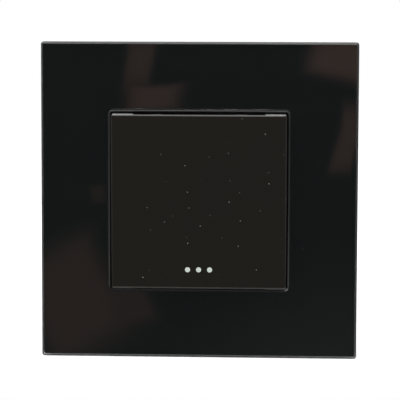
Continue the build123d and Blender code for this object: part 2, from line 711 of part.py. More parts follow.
def fixing_screws():
    """Two machine screws that fasten the yoke to the wall box, with a plain neck in its slots."""
    screw = pan_screw(FIXING_R, FIXING_L, FIXING_HEAD_R, FIXING_HEAD_H, FIXING_POINT)
    neck_end = FIXING_NECK_SHORT - YOKE_T
    screw -= rod(FIXING_R + CUT, neck_end, 0) - rod(FIXING_NECK_R, neck_end - CUT, CUT)
    screw = screw.rotate(Axis.Z, 180)
    return Compound(children=[Pos(sx * FIXING_PITCH / 2, -YOKE_T, 0) * screw for sx in (-1, 1)])


def arm_places():
    """X and Z signs of the four snap arms and their clips."""
    return [(sx, sz) for sx in (-1, 1) for sz in (-1, 1)]


def clip_edge():
    """Distance from the middle of the plate to a clip's tongue."""
    return arm_z - ARM_T / 2 - TOOTH - CLIP_GAP


def yoke_plate():
    """Pressed steel plate with fixing slots, arm slots, clip stakes and a tapped earth hole."""
    outline = rounded(yoke, yoke, YOKE_CORNER) - rounded(yoke_opening, yoke_opening, YOKE_OPENING_CORNER)
    for sx in (-1, 1):
        outline -= Pos(sx * FIXING_PITCH / 2, 0) * SlotOverall(FIXING_SLOT_L, FIXING_SLOT_W)
    slot_low = clip_edge() - CLIP_T
    slot_high = arm_z + ARM_T / 2 + ARM_SLOT_CLEAR
    slot = Rectangle(ARM_W + 2 * ARM_SLOT_CLEAR, slot_high - slot_low)
    for sx, sz in arm_places():
        outline -= Pos(sx * ARM_X, sz * (slot_low + slot_high) / 2) * slot
    for sz in (-1, 1):
        outline -= Pos(0, sz * boss_z) * Circle(COVER_SCREW_R + COVER_SCREW_CLEAR)
    plate = slab(outline, -YOKE_T, 0)
    for sx, sz in arm_places():
        z = sz * (clip_edge() - CLIP_FOOT / 2 - STAKE_R / 2)
        stake = rod(STAKE_R, -YOKE_T - 2 * CLIP_T, -YOKE_T + JOIN, sx * ARM_X, z)
        plate += chamfer(stake.edges().group_by(Axis.Y)[0], STAKE_EDGE)
    burr = rod(EARTH_BURR_R, -JOIN, EARTH_BURR_H, EARTH_X, earth_z)
    plate += fillet(burr.edges().group_by(Axis.Y)[-1], EARTH_BURR_ROUND)
    return plate - rod(FIXING_R + THREAD_CLEAR, -YOKE_T - CUT, EARTH_BURR_H + CUT, EARTH_X, earth_z)


def frame_clips():
    """Four spring-steel clips on the yoke that grip the teeth of the frame's arms."""
    clips = []
    edge = clip_edge()
    for sx, sz in arm_places():
        across = (sx * ARM_X - CLIP_W / 2, sx * ARM_X + CLIP_W / 2)
        clip = block(across, (-YOKE_T - CLIP_T, -YOKE_T), (sz * (edge - CLIP_FOOT), sz * edge))
        clip += block(across, (-YOKE_T - CLIP_TONGUE, -YOKE_T), (sz * (edge - CLIP_T), sz * edge))
        hole_z = sz * (edge - CLIP_FOOT / 2 - STAKE_R / 2)
        clip -= rod(STAKE_R + STAKE_CLEAR, -YOKE_T - CUT, -YOKE_T + CUT, sx * ARM_X, hole_z)
        clips.append(clip)
    return Compound(children=clips)


def earth_saddle():
    """Square clamp washer with two turned lips, under the earth screw's head."""
    across = (EARTH_X - SADDLE_W / 2, EARTH_X + SADDLE_W / 2)
    half_l = SADDLE_L / 2
    top = SADDLE_GAP + SADDLE_T
    plate = block(across, (SADDLE_GAP, top), (earth_z - half_l, earth_z + half_l))
    for sz in (-1, 1):
        lip_z = (earth_z + sz * half_l, earth_z + sz * (half_l - SADDLE_T))
        plate += block(across, (SADDLE_GAP - SADDLE_LIP, top), lip_z)
    return plate - rod(FIXING_R + THREAD_CLEAR, 0, top + CUT, EARTH_X, earth_z)


def earth_screw():
    """Screw that clamps the earth wire under the saddle, threaded into the yoke."""
    seat = SADDLE_GAP + SADDLE_T
    screw = pan_screw(FIXING_R, seat + YOKE_T, EARTH_HEAD_R, EARTH_HEAD_H)
    return Pos(EARTH_X, seat, earth_z) * screw


nodes = {
    "glass_panel": glass_panel(),
    "panel_tape": panel_tape(),
    "carrier_frame": carrier_frame(),
    "bezel_ring": bezel_ring(),
    "rocker_cap": rocker_cap(),
    "dot_insert": dot_insert(),
    "seesaw": seesaw(),
    "plunger": plunger(),
    "plunger_spring": plunger_spring(),
    "contact_lever": contact_lever(),
    "lever_tips": lever_tips(),
    "com_strap": com_strap(),
    "l1_strap": switched_strap(1),
    "l2_strap": switched_strap(-1),
    "l1_contact": fixed_contact(1),
    "l2_contact": fixed_contact(-1),
    "module_housing": module_housing(),
    "module_cover": module_cover(),
    "cover_screws": cover_screws(),
    "yoke_plate": yoke_plate(),
    "frame_clips": frame_clips(),
    "fixing_screws": fixing_screws(),
    "earth_saddle": earth_saddle(),
    "earth_screw": earth_screw(),
}
for name, (x, z) in terminals.items():
    nodes[f"{name}_cage"] = terminal_cage(x, z)
    nodes[f"{name}_screw"] = terminal_screw(x, z)

os.makedirs("parts", exist_ok=True)
for name, shape in nodes.items():
    export_step(shape, f"parts/{name}.step")

print(f"rocker {rocker_w:.2f} x {rocker_h:.2f}, pivot at y {pivot_y:.3f}, tilt {TILT}")
print(f"strap at y {strap_front:.3f}, wire axis y {wire_y:.3f}, housing {housing_w:.2f} x {housing_h:.2f}")
print(f"housing depth {housing_depth:.3f}, cage travel {cage_travel}, lever ratio {FLIP / TILT:.4f}")
print(f"plunger tip y {plunger_tip():.3f}, bore floor y {bore_floor():.3f}, aperture {aperture:.2f}")
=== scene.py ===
# %% [markdown]
# # A two-way light switch with a black glass front
#
# This file dresses a finished CAD model. The solids arrive from model.glb, in metres,
# with X to the right, Z up and the front of the switch facing -Y. Nothing here moves or
# reshapes them: the script gives them finishes, adds the few pieces that only matter to the
# eye, and sets up a plain studio with the camera of the photograph.

from math import cos, pi, radians, sin

import bmesh
import bpy
from mathutils import Matrix, Vector


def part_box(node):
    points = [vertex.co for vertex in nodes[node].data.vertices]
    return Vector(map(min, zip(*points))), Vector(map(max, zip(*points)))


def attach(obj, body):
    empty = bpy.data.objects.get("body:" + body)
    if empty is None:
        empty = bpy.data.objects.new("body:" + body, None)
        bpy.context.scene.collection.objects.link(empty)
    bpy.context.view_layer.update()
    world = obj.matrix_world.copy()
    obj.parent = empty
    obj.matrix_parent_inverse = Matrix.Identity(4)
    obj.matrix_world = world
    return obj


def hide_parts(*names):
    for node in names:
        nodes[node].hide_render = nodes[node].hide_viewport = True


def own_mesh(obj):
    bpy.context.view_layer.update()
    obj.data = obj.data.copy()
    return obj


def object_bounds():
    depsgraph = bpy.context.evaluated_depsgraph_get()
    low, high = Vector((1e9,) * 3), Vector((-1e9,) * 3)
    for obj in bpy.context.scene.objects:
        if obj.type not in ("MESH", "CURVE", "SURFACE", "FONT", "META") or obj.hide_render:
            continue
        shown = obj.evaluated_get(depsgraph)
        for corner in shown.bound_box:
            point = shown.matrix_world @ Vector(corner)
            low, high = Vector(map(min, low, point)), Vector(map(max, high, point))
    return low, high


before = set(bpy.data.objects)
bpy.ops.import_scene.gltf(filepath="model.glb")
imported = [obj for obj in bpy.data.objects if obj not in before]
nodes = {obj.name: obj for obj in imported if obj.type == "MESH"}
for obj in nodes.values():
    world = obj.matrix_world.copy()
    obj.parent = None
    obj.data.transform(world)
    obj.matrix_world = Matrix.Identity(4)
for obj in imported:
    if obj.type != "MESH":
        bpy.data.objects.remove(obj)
cad_box = [list(corner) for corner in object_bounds()]
scene = bpy.context.scene
MM = 0.001
box_in_mm = [[round(c / MM, 1) for c in corner] for corner in cad_box]
print(f"{len(nodes)} solids, box in mm:", box_in_mm)

# %% [markdown]
# ## Helpers for node trees
#
# Every finish below is a Principled shader with something that varies: a noise, a grain, a
# mask. The first helper adds a node and fills its sockets, with values or with links from
# other nodes. The next three are short names for common nodes, so that a sum in a node tree
# reads almost like a sum in Python.

# %% Helpers that add nodes
def add(tree, kind, inputs=None, **settings):
    """One node, with its settings and its named or numbered input values or links."""
    made = tree.nodes.new(kind)
    for key, value in settings.items():
        setattr(made, key, value)
    for key, value in (inputs or {}).items():
        if isinstance(value, bpy.types.NodeSocket):
            tree.links.new(value, made.inputs[key])
        else:
            made.inputs[key].default_value = value
    return made


def calc(tree, operation, *values):
    """One sum on numbers or links."""
    return add(tree, "ShaderNodeMath", dict(enumerate(values)), operation=operation).outputs[0]


def vector(tree, operation, *values):
    """One sum on vectors. A length or a dot product comes out as a number."""
    made = add(tree, "ShaderNodeVectorMath", dict(enumerate(values)), operation=operation)
    return made.outputs["Value" if operation in ("LENGTH", "DOT_PRODUCT") else "Vector"]


def parts_of(tree, value):
    """The X, Y and Z of a vector, as outputs to pick by name."""
    return add(tree, "ShaderNodeSeparateXYZ", {0: value}).outputs


# %% [markdown]
# Patterns read Object coordinates, which are metres here, so a noise scale of 1000 gives
# blotches of about a millimetre on any piece. Links go in as they are, and a colour is a
# triple of linear values.

# %% Helpers for finishes
def start_finish(name, colour, roughness, metallic=0.0):
    """A new material, its tree and its Principled shader."""
    material = bpy.data.materials.new(name)
    material.use_nodes = True
    tree = material.node_tree
    shader = tree.nodes["Principled BSDF"]
    shader.inputs["Base Color"].default_value = (*colour, 1.0)
    shader.inputs["Roughness"].default_value = roughness
    shader.inputs["Metallic"].default_value = metallic
    return material, tree, shader


def feed(tree, shader, socket, value):
    """Drive a socket of the shader by a link."""
    tree.links.new(value, shader.inputs[socket])


def places(tree, stretch=(1.0, 1.0, 1.0)):
    """Object coordinates in metres, stretched along an axis where a grain runs."""
    source = add(tree, "ShaderNodeTexCoord").outputs["Object"]
    return add(tree, "ShaderNodeMapping", {"Vector": source, "Scale": stretch}).outputs[0]


def noise(tree, where, scale, detail=3.0):
    """A soft random value from 0 to 1."""
    inputs = {"Vector": where, "Scale": scale, "Detail": detail}
    return add(tree, "ShaderNodeTexNoise", inputs).outputs["Fac"]


def spread(tree, value, low, high, start=0.3, end=0.7):
    """The value stretched onto a new range."""
    inputs = {"Value": value, "From Min": start, "From Max": end, "To Min": low, "To Max": high}
    return add(tree, "ShaderNodeMapRange", inputs).outputs["Result"]


def blend_values(tree, factor, first, second):
    """A number between two others."""
    inputs = {"Factor": factor, 2: first, 3: second}
    return add(tree, "ShaderNodeMix", inputs, data_type="FLOAT").outputs[0]


def blend_colours(tree, factor, first, second):
    """A colour between two others. Each is a triple or a link."""
    mix = add(tree, "ShaderNodeMix", {"Factor": factor}, data_type="RGBA")
    for socket, colour in ((mix.inputs[6], first), (mix.inputs[7], second)):
        if isinstance(colour, bpy.types.NodeSocket):
            tree.links.new(colour, socket)
        else:
            socket.default_value = (*colour, 1.0)
    return mix.outputs[2]


def relief(tree, shader, height, depth, strength=1.0):
    """Bump from a height of 0 to 1 that stands for a depth in metres."""
    inputs = {"Height": height, "Distance": depth, "Strength": strength}
    feed(tree, shader, "Normal", add(tree, "ShaderNodeBump", inputs).outputs[0])


# %% [markdown]
# ## Glass, and the black behind it
#
# The plate is clear glass, 4 mm thick, painted black on its back. Painting the glass itself
# black would look right from the front but lose the bright line round the edge, where the
# bevel looks past the paint into clear glass. So the glass stays clear, and a thin film
# behind it carries the black. The faces are polished with a trace of haze, and the bevels
# are ground. A face is told from a bevel by how squarely it looks along Y.

# %% Clear glass with a ground edge
clear_glass, tree, shader = start_finish("clear_glass", (0.95, 0.985, 0.97), 0.02)
shader.inputs["Transmission Weight"].default_value = 1.0
shader.inputs["IOR"].default_value = 1.52
FLAT_FROM = 0.95
where = places(tree)
normal = add(tree, "ShaderNodeNewGeometry").outputs["Normal"]
squareness = calc(tree, "ABSOLUTE", parts_of(tree, normal)["Y"])
ground = calc(tree, "LESS_THAN", squareness, FLAT_FROM)
haze = spread(tree, noise(tree, where, 90.0), 0.0, 0.015)
edge_grain = spread(tree, noise(tree, where, 2500.0), 0.38, 0.5)
feed(tree, shader, "Roughness", blend_values(tree, ground, haze, edge_grain))
print("clear glass: haze on the faces, a ground finish on the bevels")

# %% [markdown]
# Dust settles in single specks, so the mask is a Voronoi pattern: one point in each cell,
# and only where the distance to it is tiny. The cell's own random colour decides whether the
# point shows at all and how large it is. The pattern is two-dimensional, across the face.

# %% Dust as a mask
def dust(tree, cell, radius, low_share, high_share):
    """A mask that is 1 on sparse specks across X and Z, in loose clusters. Sizes are in metres."""
    spot = parts_of(tree, places(tree))
    wobble = spread(tree, noise(tree, places(tree), 9000.0), -0.4 * radius, 0.4 * radius)
    across = add(tree, "ShaderNodeCombineXYZ", {"X": spot["X"], "Y": spot["Z"]}).outputs[0]
    grid = {"Vector": across, "Scale": 1.0 / cell}
    cells = add(tree, "ShaderNodeTexVoronoi", grid, voronoi_dimensions="2D").outputs
    random = add(tree, "ShaderNodeSeparateColor", {0: cells["Color"]}).outputs
    size = spread(tree, random[1], 0.4 * radius, radius, 0.0, 1.0)
    size = calc(tree, "MULTIPLY", calc(tree, "ADD", size, wobble), 1.0 / cell)
    near = calc(tree, "LESS_THAN", cells["Distance"], size)
    clusters = noise(tree, places(tree), 45.0, 1.0)
    share = spread(tree, clusters, low_share, high_share, 0.4, 0.6)
    return calc(tree, "MULTIPLY", near, calc(tree, "LESS_THAN", random[0], share))


# %% Black print for the back of the glass
black_print, tree, shader = start_finish("black_print", (0.004, 0.0045, 0.0043), 0.9)
shader.inputs["Specular IOR Level"].default_value = 0.0
mottle = spread(tree, noise(tree, places(tree), 140.0), 0.0, 1.0)
ink = blend_colours(tree, mottle, (0.0035, 0.0042, 0.004), (0.0052, 0.0055, 0.0052))
specks = dust(tree, 13.0 * MM, 0.12 * MM, 0.05, 0.3)
feed(tree, shader, "Base Color", blend_colours(tree, specks, ink, (0.16, 0.155, 0.14)))
print("black print: mottled ink with a few specks")

# %% [markdown]
# The film itself is a square sheet with rounded corners and a square hole. It is built as
# two rings of points joined by faces, front and back, which keeps it a closed skin. It lies
# in the glass's own thickness, two hundredths of a millimetre in front of its back face, so
# that no two surfaces share a plane. The wall of the square hole is painted too: without that
# the camera, looking slightly down, sees a bright line through the glass above the ring.

# %% Film behind the glass
def object_with(mesh, name):
    """A new object in the scene with the mesh."""
    made = bpy.data.objects.new(name, mesh)
    scene.collection.objects.link(made)
    return made


def object_from(shape, name):
    """A new object in the scene with the finished shape as its mesh."""
    mesh = bpy.data.meshes.new(name)
    shape.to_mesh(mesh)
    shape.free()
    return object_with(mesh, name)


def rounded_square(half, corner, steps=6):
    """Points round a square with rounded corners, as X and Z."""
    points = []
    for turn in range(4):
        centre_x = (half - corner) * (1 if turn in (0, 3) else -1)
        centre_z = (half - corner) * (1 if turn in (0, 1) else -1)
        for step in range(steps + 1):
            angle = radians(90 * turn + 90 * step / steps)
            points.append((centre_x + corner * cos(angle), centre_z + corner * sin(angle)))
    return points


def plate_with_hole(name, outer, inner, front, back, material):
    """A flat closed ring between two outlines of equally many points."""
    shape = bmesh.new()
    loops = []
    for outline, y in ((outer, front), (inner, front), (inner, back), (outer, back)):
        loops.append([shape.verts.new((x, y, z)) for x, z in outline])
    count = len(outer)
    for here, there in ((0, 1), (1, 2), (2, 3), (3, 0)):
        for n in range(count):
            m = (n + 1) % count
            shape.faces.new((loops[here][n], loops[here][m], loops[there][m], loops[there][n]))
    bmesh.ops.recalc_face_normals(shape, faces=shape.faces)
    made = object_from(shape, name)
    made.data.materials.append(material)
    print(f"{name}: {count} points round each outline, {(back - front) / MM:.2f} mm thick")
    return made


HOLE = 49.45 * MM
HOLE_CORNER = 1.35 * MM
SKIN = 0.02 * MM
FILM_INSET = 0.24 * MM
FILM_CORNER = 0.6 * MM
FILM_TO_HOLE = 0.12 * MM
FILM_HOLE_CORNER = 1.45 * MM
PAINT_TO_HOLE = 0.03 * MM
PAINT_TO_FACES = 0.12 * MM
glass_low, glass_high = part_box("glass_panel")
glass_front, glass_back = glass_low.y, glass_high.y


def round_hole(grown):
    """The outline of the glass's hole, grown by a distance."""
    return rounded_square(HOLE / 2 + grown, HOLE_CORNER + grown)


film_outer = rounded_square(glass_high.x - FILM_INSET, FILM_CORNER)
film_inner = rounded_square(HOLE / 2 + FILM_TO_HOLE, FILM_HOLE_CORNER)
film_y = (glass_back - 2 * SKIN, glass_back - SKIN)
glass_film = plate_with_hole("glass_film", film_outer, film_inner, *film_y, black_print)
paint_outer = round_hole(PAINT_TO_HOLE + SKIN)
paint_inner = round_hole(PAINT_TO_HOLE)
paint_y = (glass_front + PAINT_TO_FACES, glass_back - PAINT_TO_FACES)
hole_paint = plate_with_hole("hole_paint", paint_outer, paint_inner, *paint_y, black_print)
for paint in (glass_film, hole_paint):
    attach(paint, "front")

# %% [markdown]
# ## The bead between glass and ring
#
# The cut edge of a glass plate catches every lamp, yet the photograph shows no bright line
# round the ring. The real slit is filled with a thin bead of black adhesive, which covers that
# edge. It is a closed strip a quarter of a millimetre wide, just proud of the glass.

# %% Bead round the ring
bead_black, tree, shader = start_finish("bead_black", (0.004, 0.004, 0.004), 0.2)
lumps = noise(tree, places(tree), 1200.0)
shade = blend_colours(tree, lumps, (0.003, 0.003, 0.003), (0.006, 0.006, 0.0059))
feed(tree, shader, "Base Color", shade)
feed(tree, shader, "Roughness", spread(tree, lumps, 0.14, 0.26))
relief(tree, shader, lumps, 0.003 * MM, 0.4)

RING_OUTER = 49.15 * MM
RING_CORNER = 1.2 * MM
BEAD_ON_GLASS = 0.125 * MM
BEAD_TO_RING = 0.015 * MM
BEAD_PROUD = 0.03 * MM
BEAD_OFF_GLASS = 0.005 * MM
bead_outer = round_hole(BEAD_ON_GLASS)
bead_inner = rounded_square(RING_OUTER / 2 + BEAD_TO_RING, RING_CORNER + BEAD_TO_RING)
bead_y = (glass_front - BEAD_PROUD, glass_front - BEAD_OFF_GLASS)
ring_bead = plate_with_hole("ring_bead", bead_outer, bead_inner, *bead_y, bead_black)
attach(ring_bead, "front")

# %% [markdown]
# ## Moulded plastics
#
# The visible rocker is moulded black with a spark-eroded texture, fine enough to look satin.
# The ring round it comes from a smoother tool. Behind the glass the frame is a plain tough
# grade, and the module's parts are glass-filled, with tiny pale fibres and faint flow marks.
#
# The rocker's skirt carries a painted highlight where its ends pass the ring: a pale colour for
# the bright dash at each end of the upper gap. The bevel along its lower edge carries a fainter
# painted highlight too. Both places are found in the rocker's own directions: a dot product with
# its tilted upward direction gives the height on the rocker. At the lower right corner a pale
# painted glint lies on rocker and ring alike, so both share that mask.

# %% Painted highlights on the rocker
ROCKER_TILT = radians(2.8)
ROCKER_PIVOT_Y = -6.75 * MM
ROCKER_HALF = 23.735 * MM
FACE_BAND = 0.05 * MM
GLINT_FROM_X = 17.9 * MM
TAB_X = 11.5 * MM
TAB_HALF = 1.35 * MM
TAB_SHARE = 0.2
BEVEL_FULL = 0.3 * MM
BEVEL_GONE = 0.5 * MM
GLINT_CORNER = (23.8 * MM, 0.0, -23.9 * MM)
CORNER_FULL = 0.3 * MM
CORNER_GONE = 0.6 * MM


def rocker_height(tree):
    """The height on the rocker above its middle, in metres."""
    upward = (0.0, -sin(ROCKER_TILT), cos(ROCKER_TILT))
    height = vector(tree, "DOT_PRODUCT", places(tree), upward)
    return calc(tree, "ADD", height, ROCKER_PIVOT_Y * sin(ROCKER_TILT))


def painted_glint_ends(tree):
    """A painted-highlight mask on the skirt's top and bottom faces: 1 near the corners, faint on
    the two tabs.
    """
    where = places(tree)
    height = calc(tree, "ABSOLUTE", rocker_height(tree))
    outside = calc(tree, "GREATER_THAN", height, ROCKER_HALF - FACE_BAND)
    side = calc(tree, "ABSOLUTE", parts_of(tree, where)["X"])
    near_corner = calc(tree, "GREATER_THAN", side, GLINT_FROM_X)
    on_tab = calc(tree, "MULTIPLY", calc(tree, "COMPARE", side, TAB_X, TAB_HALF), TAB_SHARE)
    highlight_patchiness = spread(tree, noise(tree, where, 900.0), 0.55, 1.0)
    place = calc(tree, "MAXIMUM", near_corner, on_tab)
    return calc(tree, "MULTIPLY", calc(tree, "MULTIPLY", outside, place), highlight_patchiness)


def painted_edge_highlight(tree):
    """A painted-highlight mask that grows to 1 along the bevel at the rocker's lower edge."""
    full, gone = -ROCKER_HALF + BEVEL_FULL, -ROCKER_HALF + BEVEL_GONE
    edge = spread(tree, rocker_height(tree), 1.0, 0.0, full, gone)
    highlight_patchiness = spread(tree, noise(tree, places(tree), 600.0), 0.75, 1.0)
    return calc(tree, "MULTIPLY", edge, highlight_patchiness)


def painted_corner_glint(tree):
    """A painted-glint mask round the lower right corner of rocker and ring."""
    offset = vector(tree, "SUBTRACT", places(tree), GLINT_CORNER)
    distance = vector(tree, "LENGTH", vector(tree, "MULTIPLY", offset, (1.0, 0.0, 1.0)))
    return spread(tree, distance, 1.0, 0.0, CORNER_FULL, CORNER_GONE)


# %% Rocker
CORNER_GLINT_PALE = (0.14, 0.145, 0.145)
rocker_satin, tree, shader = start_finish("rocker_satin", (0.006, 0.0048, 0.0026), 0.3)
shader.inputs["Specular IOR Level"].default_value = 0.4
where = places(tree)
shade = spread(tree, noise(tree, where, 45.0), 0.0, 1.0)
pigment = blend_colours(tree, shade, (0.0088, 0.0066, 0.0038), (0.0072, 0.0064, 0.0042))
specks = dust(tree, 5.2 * MM, 0.1 * MM, 0.2, 0.8)
pigment = blend_colours(tree, specks, pigment, (0.5, 0.49, 0.45))
# The next three colours are painted highlights: the lower bevel, the lower right corner and the
# skirt's ends.
pigment = blend_colours(tree, painted_edge_highlight(tree), pigment, (0.075, 0.072, 0.068))
pigment = blend_colours(tree, painted_corner_glint(tree), pigment, CORNER_GLINT_PALE)
pigment = blend_colours(tree, painted_glint_ends(tree), pigment, (0.42, 0.42, 0.41))
feed(tree, shader, "Base Color", pigment)
grain = noise(tree, where, 7000.0, 2.0)
feed(tree, shader, "Roughness", spread(tree, grain, 0.26, 0.36))
relief(tree, shader, grain, 0.004 * MM, 0.5)
# The rubbed places in this print are painted highlights: lower bevel, corner, skirt ends and tabs.
print("rocker: satin black, specks, and four rubbed places")

# %% [markdown]
# The ring's lower run is painted a deeper black than the rest: painted shade for its lower
# side, which catches less light. Higher up its pigment is paler.

# %% Ring
SHADE_FULL_BELOW = -24.0 * MM
SHADE_GONE_ABOVE = -23.0 * MM
ring_gloss, tree, shader = start_finish("ring_gloss", (0.02, 0.02, 0.02), 0.2)
where = places(tree)
shade = spread(tree, noise(tree, where, 300.0), 0.0, 1.0)
painted_shade_low = spread(tree, parts_of(tree, where)["Z"], 1.0, 0.0, SHADE_FULL_BELOW, SHADE_GONE_ABOVE)
pigment = blend_colours(tree, shade, (0.028, 0.028, 0.0285), (0.036, 0.036, 0.0355))
# The lower run of the ring gets a near-black pigment here: painted shade.
pigment = blend_colours(tree, painted_shade_low, pigment, (0.003, 0.003, 0.003))
# A pale painted glint at the lower right corner, shared with the rocker.
pigment = blend_colours(tree, painted_corner_glint(tree), pigment, CORNER_GLINT_PALE)
feed(tree, shader, "Base Color", pigment)
feed(tree, shader, "Roughness", spread(tree, noise(tree, where, 1500.0), 0.14, 0.26))
relief(tree, shader, noise(tree, where, 3000.0), 0.002 * MM, 0.4)

# %% [markdown]
# The three dots are pips of one insert in a luminous grade: a milky white with a green cast.
# Faint clouds in it and a fine grain keep the dots from looking like flat paint.

# %% Luminous dots
luminous_white, tree, shader = start_finish("luminous_white", (0.6, 0.66, 0.6), 0.45)
where = places(tree)
cloud = spread(tree, noise(tree, where, 2200.0), 0.0, 1.0)
shade = blend_colours(tree, cloud, (0.56, 0.63, 0.57), (0.64, 0.69, 0.64))
feed(tree, shader, "Base Color", shade)
relief(tree, shader, noise(tree, where, 9000.0), 0.004 * MM, 0.4)

# %% [markdown]
# The parts behind the front come in three kinds. Filled grades show their glass fibres as
# short pale streaks, the frame's plain grade shows none, and the see-saw is uncoloured resin
# that lets a little light into its surface.

# %% Filled and natural grades for the hidden parts
def moulded(name, dark, light, roughness, fibre_share=0.0, fibre=None, depth=0.008 * MM):
    """A moulded grade: slow flow shading, fine grain, and short pale fibres if it is filled."""
    material, tree, shader = start_finish(name, dark, roughness)
    where = places(tree)
    flow = spread(tree, noise(tree, where, 110.0), 0.0, 1.0)
    colour = blend_colours(tree, flow, dark, light)
    if fibre_share:
        strands = noise(tree, places(tree, (1.0, 1.0, 0.25)), 6500.0, 1.0)
        strands = spread(tree, strands, 0.0, fibre_share, 0.66, 0.72)
        colour = blend_colours(tree, strands, colour, fibre)
    feed(tree, shader, "Base Color", colour)
    grain = noise(tree, where, 4200.0)
    feed(tree, shader, "Roughness", spread(tree, grain, roughness - 0.06, roughness + 0.08))
    relief(tree, shader, grain, depth, 0.6)
    return material


smooth = {"roughness": 0.42, "depth": 0.004 * MM}
frame_black = moulded("frame_black", (0.018, 0.018, 0.019), (0.028, 0.028, 0.029), **smooth)
filled = {"roughness": 0.5, "fibre_share": 0.3, "fibre": (0.8, 0.8, 0.78)}
module_grey = moulded("module_grey", (0.5, 0.51, 0.51), (0.58, 0.59, 0.58), **filled)
filled = {"roughness": 0.5, "fibre_share": 0.25, "fibre": (0.3, 0.3, 0.3)}
cover_charcoal = moulded("cover_charcoal", (0.05, 0.05, 0.054), (0.075, 0.075, 0.08), **filled)
seesaw_natural = moulded("seesaw_natural", (0.7, 0.69, 0.63), (0.8, 0.79, 0.73), 0.38)
natural_shader = seesaw_natural.node_tree.nodes["Principled BSDF"]
natural_shader.inputs["Subsurface Weight"].default_value = 0.15
natural_shader.inputs["Subsurface Scale"].default_value = 0.8 * MM
print("moulded grades: frame, module, cover and see-saw")

# %% [markdown]
# ## Foam tape
#
# The tape between glass and frame is closed-cell foam. Only its cut edge can be seen, and
# there the cells show as small pits, so a Voronoi distance makes both the pits and the shade.

# %% Foam with cells
foam_cells, tree, shader = start_finish("foam_cells", (0.03, 0.03, 0.03), 0.85)
cells = add(tree, "ShaderNodeTexVoronoi", {"Vector": places(tree), "Scale": 5500.0})
pits = cells.outputs["Distance"]
shade = spread(tree, pits, 0.0, 1.0, 0.1, 0.6)
shade = blend_colours(tree, shade, (0.045, 0.045, 0.045), (0.016, 0.016, 0.016))
feed(tree, shader, "Base Color", shade)
relief(tree, shader, pits, 0.05 * MM, 0.7)

# %% [markdown]
# ## Metals
#
# Bright zinc on pressed steel is never even: it has a cloudy grey, a faint yellow from the
# passivation and fine rolling lines. Brass and copper strip show the rolling lines more, and
# darken where they were handled. The contact faces are dull silver.

# %% Plated, rolled and drawn metal
def rolled_metal(name, colour, tint, roughness, grain=(1.0, 1.0, 1.0)):
    """Metal with cloudy colour, lines along its rolling direction and an uneven shine."""
    material, tree, shader = start_finish(name, colour, roughness, 1.0)
    cloud = spread(tree, noise(tree, places(tree), 260.0, 5.0), 0.0, 1.0)
    feed(tree, shader, "Base Color", blend_colours(tree, cloud, colour, tint))
    lines = noise(tree, places(tree, grain), 5200.0, 2.0)
    feed(tree, shader, "Roughness", spread(tree, lines, roughness - 0.07, roughness + 0.12))
    relief(tree, shader, lines, 0.003 * MM, 0.5)
    return material


# Each row: colour, tint, roughness, and the grain if it has a direction
zinc_plate = rolled_metal(
    "zinc_plate", (0.56, 0.57, 0.58), (0.62, 0.61, 0.56), 0.34, (0.03, 1.0, 1.0)
)
zinc_screw = rolled_metal("zinc_screw", (0.6, 0.61, 0.62), (0.66, 0.64, 0.57), 0.28)
spring_blue = rolled_metal(
    "spring_blue", (0.42, 0.43, 0.46), (0.5, 0.5, 0.5), 0.26, (1.0, 1.0, 0.05)
)
copper_rolled = rolled_metal(
    "copper_rolled", (0.82, 0.47, 0.32), (0.7, 0.38, 0.25), 0.3, (1.0, 1.0, 0.04)
)
brass_rolled = rolled_metal(
    "brass_rolled", (0.78, 0.6, 0.3), (0.7, 0.52, 0.25), 0.3, (0.04, 1.0, 1.0)
)
silver_contact = rolled_metal(
    "silver_contact", (0.78, 0.77, 0.74), (0.68, 0.67, 0.64), 0.36
)
print("metals: zinc, spring steel, copper, brass, silver")

# %% [markdown]
# ## Which solid gets which finish
#
# Each solid came in under its own name, so a table is all it takes. The screws and the spring
# are missing from it: pieces made further down stand in for them.

# %% Give every carried-over solid its finish
finish_of = {
    "glass_panel": clear_glass,
    "panel_tape": foam_cells,
    "carrier_frame": frame_black,
    "bezel_ring": ring_gloss,
    "rocker_cap": rocker_satin,
    "dot_insert": luminous_white,
    "seesaw": seesaw_natural,
    "plunger": seesaw_natural,
    "contact_lever": copper_rolled,
    "lever_tips": silver_contact,
    "l1_contact": silver_contact,
    "l2_contact": silver_contact,
    "com_strap": brass_rolled,
    "l1_strap": brass_rolled,
    "l2_strap": brass_rolled,
    "module_housing": module_grey,
    "module_cover": cover_charcoal,
    "yoke_plate": zinc_plate,
    "frame_clips": spring_blue,
    "earth_saddle": brass_rolled,
    "com_cage": brass_rolled,
    "l1_cage": brass_rolled,
    "l2_cage": brass_rolled,
}
for name, material in finish_of.items():
    nodes[name].data.materials.clear()
    nodes[name].data.materials.append(material)
print(len(finish_of), "solids have their finish")
print("a piece of their own:", sorted(set(nodes) - set(finish_of)))

# %% [markdown]
# ## Screws with real threads
#
# The CAD model gives a screw as a plain shank, which is right for a simulation and wrong for
# the eye. A thread follows a rule: a V-shaped ridge along a helix. That is a job for Geometry
# Nodes, where one tree with named inputs makes every size. The head is turned from a profile
# like a lathe would do it, and its slot is cut with a Boolean before the tree places both on
# the seats of the screws. A Boolean hands its points back in another order on every run, so
# a helper sorts them. That way the script gives the same meshes each time.

# %% A slotted head, turned and cut
def baked(made):
    """The mesh of an object with its modifier worked in. The modifier itself goes."""
    depsgraph = bpy.context.evaluated_depsgraph_get()
    mesh = bpy.data.meshes.new_from_object(made.evaluated_get(depsgraph))
    made.modifiers.clear()
    return mesh


def in_order(mesh):
    """A copy of the mesh with its points and faces in a fixed order."""
    points = [tuple(vertex.co) for vertex in mesh.vertices]
    ranked = sorted(range(len(points)), key=points.__getitem__)
    rank = {old: new for new, old in enumerate(ranked)}
    faces = []
    for face in mesh.polygons:
        corners = [rank[index] for index in face.vertices]
        first = corners.index(min(corners))
        faces.append(corners[first:] + corners[:first])
    ordered = bpy.data.meshes.new(mesh.name)
    ordered.from_pydata([points[old] for old in ranked], [], sorted(faces))
    return ordered


